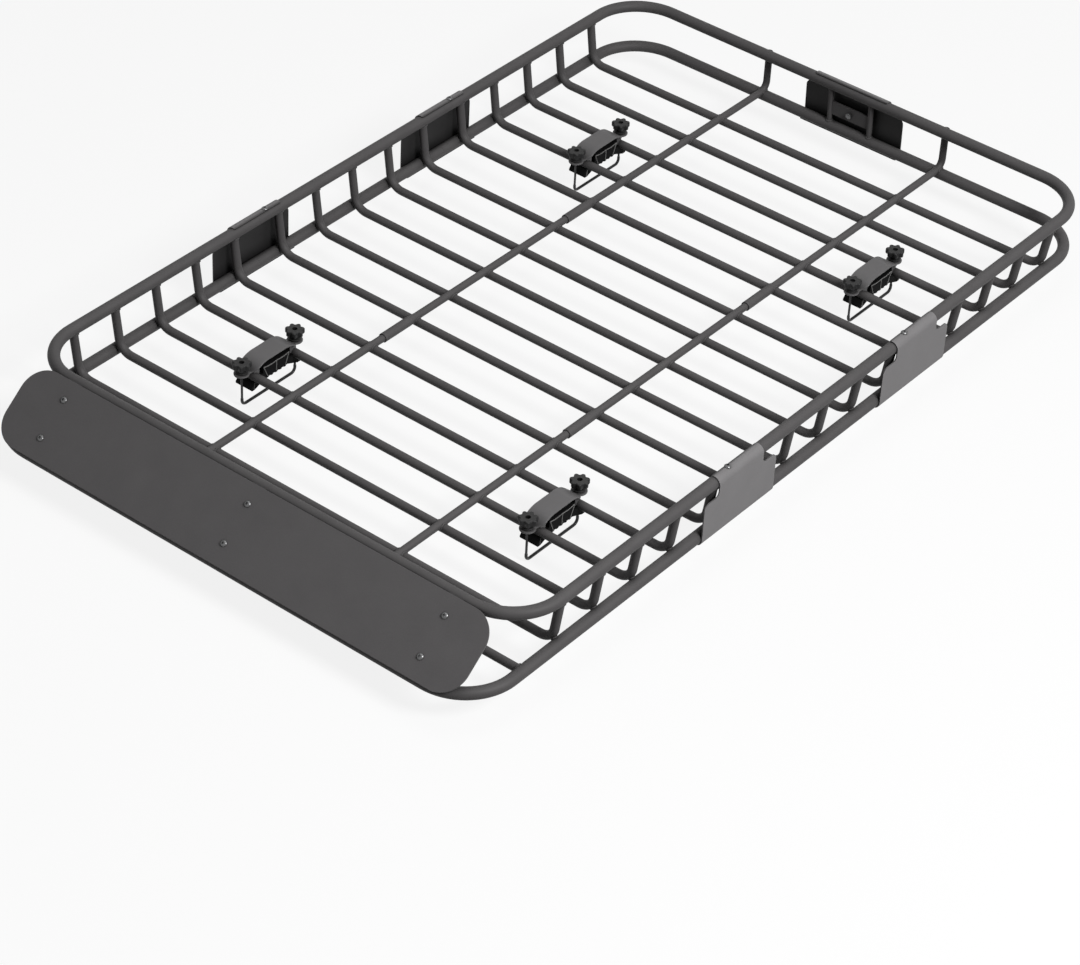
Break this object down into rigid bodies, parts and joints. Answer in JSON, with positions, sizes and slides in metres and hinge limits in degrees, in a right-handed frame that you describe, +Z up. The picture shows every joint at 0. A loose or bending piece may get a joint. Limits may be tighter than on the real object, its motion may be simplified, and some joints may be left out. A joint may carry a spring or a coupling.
{
  "type": "roof cargo basket",
  "caption": "Steel tube roof cargo basket: two rail loops on U-bent cross bars, long bars, bolt-on cover plates, sloped front fairing, and sliding clamps with U-bolts and star knobs.",
  "frame": {"origin": "middle of the bounding box, at its foot: the plane that the four U-bolts stand on", "axes": "+X to the vehicle's right, +Y to the rear, +Z up; the fairing is at the -Y end"},
  "size_m": [0.9948, 1.6354, 0.1528],
  "materials": {
    "tube_coat": "satin fine-textured dark grey powder coat on round steel tube",
    "plate_coat": "satin fine-textured dark grey powder coat on sheet steel",
    "fairing_coat": "satin dark grey powder coat, bare of lettering",
    "cover_coat": "satin grey powder coat on the clamp covers",
    "pad_rubber": "black rubber with raised lines on its sides",
    "rod_black": "black coated steel rod with a thread on each leg",
    "knob_plastic": "fine-grained dark moulded plastic",
    "screw_black": "black oxide on socket screws, nuts and washers",
    "joiner_steel": "bare steel tube inside the joints"
  },
  "bodies": {
    "basket": {"upper_rail_front": "tube_coat", "upper_rail_rear": "tube_coat", "upper_rail_mid_left": "tube_coat", "upper_rail_mid_right": "tube_coat", "lower_rail_front": "tube_coat", "lower_rail_rear": "tube_coat", "lower_rail_mid_left": "tube_coat", "lower_rail_mid_right": "tube_coat", "cross_bars_front": "tube_coat", "cross_bars_rear": "tube_coat", "cross_bars_mid_left": "tube_coat", "cross_bars_mid_right": "tube_coat", "front_floor_bar": "tube_coat", "long_bar_front_left": "tube_coat", "long_bar_front_right": "tube_coat", "long_bar_mid_left": "tube_coat", "long_bar_mid_right": "tube_coat", "long_bar_rear_left": "tube_coat", "long_bar_rear_right": "tube_coat", "rail_joiners": "joiner_steel", "cross_bar_joiners": "joiner_steel", "side_plate_front_right": "plate_coat", "side_plate_front_left": "plate_coat", "side_plate_rear_right": "plate_coat", "side_plate_rear_left": "plate_coat", "side_plate_screws": "screw_black", "rear_plate": "plate_coat", "rear_posts": "tube_coat", "rear_strap": "tube_coat", "rear_plate_screw": "screw_black", "rear_plate_nut": "screw_black", "fairing": "fairing_coat", "fairing_carriers": "tube_coat", "fairing_screws": "screw_black", "fairing_nuts": "screw_black"},
    "clamp_front_left": {"cover_front_left": "cover_coat", "pad_front_left": "pad_rubber", "washers_front_left": "screw_black"},
    "hook_front_left": {"ubolt_front_left": "rod_black"},
    "fore_knob_front_left": {"knob_front_left_fore": "knob_plastic"},
    "aft_knob_front_left": {"knob_front_left_aft": "knob_plastic"},
    "clamp_front_right": {"cover_front_right": "cover_coat", "pad_front_right": "pad_rubber", "washers_front_right": "screw_black"},
    "hook_front_right": {"ubolt_front_right": "rod_black"},
    "fore_knob_front_right": {"knob_front_right_fore": "knob_plastic"},
    "aft_knob_front_right": {"knob_front_right_aft": "knob_plastic"},
    "clamp_rear_left": {"cover_rear_left": "cover_coat", "pad_rear_left": "pad_rubber", "washers_rear_left": "screw_black"},
    "hook_rear_left": {"ubolt_rear_left": "rod_black"},
    "fore_knob_rear_left": {"knob_rear_left_fore": "knob_plastic"},
    "aft_knob_rear_left": {"knob_rear_left_aft": "knob_plastic"},
    "clamp_rear_right": {"cover_rear_right": "cover_coat", "pad_rear_right": "pad_rubber", "washers_rear_right": "screw_black"},
    "hook_rear_right": {"ubolt_rear_right": "rod_black"},
    "fore_knob_rear_right": {"knob_rear_right_fore": "knob_plastic"},
    "aft_knob_rear_right": {"knob_rear_right_aft": "knob_plastic"}
  },
  "joints": [
    {"name": "slide_front_left", "type": "slide", "parent": "basket", "child": "clamp_front_left", "axis": [1, 0, 0], "range_m": [-0.145, 0.07]},
    {"name": "fore_spin_front_left", "type": "hinge", "parent": "clamp_front_left", "child": "fore_knob_front_left", "pos_m": [-0.284, -0.44772, 0.075], "axis": [0, 0, -1], "range_deg": [-3060, 11160]},
    {"name": "aft_spin_front_left", "type": "hinge", "parent": "clamp_front_left", "child": "aft_knob_front_left", "pos_m": [-0.284, -0.32472, 0.075], "axis": [0, 0, -1], "range_deg": [-3060, 11160]},
    {"name": "lift_front_left", "type": "slide", "parent": "clamp_front_left", "child": "hook_front_left", "axis": [0, 0, 1], "range_m": [-0.006, 0.022]},
    {"name": "slide_front_right", "type": "slide", "parent": "basket", "child": "clamp_front_right", "axis": [1, 0, 0], "range_m": [-0.079, 0.136]},
    {"name": "fore_spin_front_right", "type": "hinge", "parent": "clamp_front_right", "child": "fore_knob_front_right", "pos_m": [0.293, -0.44772, 0.075], "axis": [0, 0, -1], "range_deg": [-3060, 11160]},
    {"name": "aft_spin_front_right", "type": "hinge", "parent": "clamp_front_right", "child": "aft_knob_front_right", "pos_m": [0.293, -0.32472, 0.075], "axis": [0, 0, -1], "range_deg": [-3060, 11160]},
    {"name": "lift_front_right", "type": "slide", "parent": "clamp_front_right", "child": "hook_front_right", "axis": [0, 0, 1], "range_m": [-0.006, 0.022]},
    {"name": "slide_rear_left", "type": "slide", "parent": "basket", "child": "clamp_rear_left", "axis": [1, 0, 0], "range_m": [-0.145, 0.07]},
    {"name": "fore_spin_rear_left", "type": "hinge", "parent": "clamp_rear_left", "child": "fore_knob_rear_left", "pos_m": [-0.284, 0.39028, 0.075], "axis": [0, 0, -1], "range_deg": [-3060, 11160]},
    {"name": "aft_spin_rear_left", "type": "hinge", "parent": "clamp_rear_left", "child": "aft_knob_rear_left", "pos_m": [-0.284, 0.51328, 0.075], "axis": [0, 0, -1], "range_deg": [-3060, 11160]},
    {"name": "lift_rear_left", "type": "slide", "parent": "clamp_rear_left", "child": "hook_rear_left", "axis": [0, 0, 1], "range_m": [-0.006, 0.022]},
    {"name": "slide_rear_right", "type": "slide", "parent": "basket", "child": "clamp_rear_right", "axis": [1, 0, 0], "range_m": [-0.079, 0.136]},
    {"name": "fore_spin_rear_right", "type": "hinge", "parent": "clamp_rear_right", "child": "fore_knob_rear_right", "pos_m": [0.293, 0.39028, 0.075], "axis": [0, 0, -1], "range_deg": [-3060, 11160]},
    {"name": "aft_spin_rear_right", "type": "hinge", "parent": "clamp_rear_right", "child": "aft_knob_rear_right", "pos_m": [0.293, 0.51328, 0.075], "axis": [0, 0, -1], "range_deg": [-3060, 11160]},
    {"name": "lift_rear_right", "type": "slide", "parent": "clamp_rear_right", "child": "hook_rear_right", "axis": [0, 0, 1], "range_m": [-0.006, 0.022]}
  ],
  "couplings": [
    {"joint": "aft_spin_front_left", "follows": "fore_spin_front_left", "ratio": 1},
    {"joint": "lift_front_left", "follows": "fore_spin_front_left", "m_per_rad": 0.00011141},
    {"joint": "aft_spin_front_right", "follows": "fore_spin_front_right", "ratio": 1},
    {"joint": "lift_front_right", "follows": "fore_spin_front_right", "m_per_rad": 0.00011141},
    {"joint": "aft_spin_rear_left", "follows": "fore_spin_rear_left", "ratio": 1},
    {"joint": "lift_rear_left", "follows": "fore_spin_rear_left", "m_per_rad": 0.00011141},
    {"joint": "aft_spin_rear_right", "follows": "fore_spin_rear_right", "ratio": 1},
    {"joint": "lift_rear_right", "follows": "fore_spin_rear_right", "m_per_rad": 0.00011141}
  ]
}
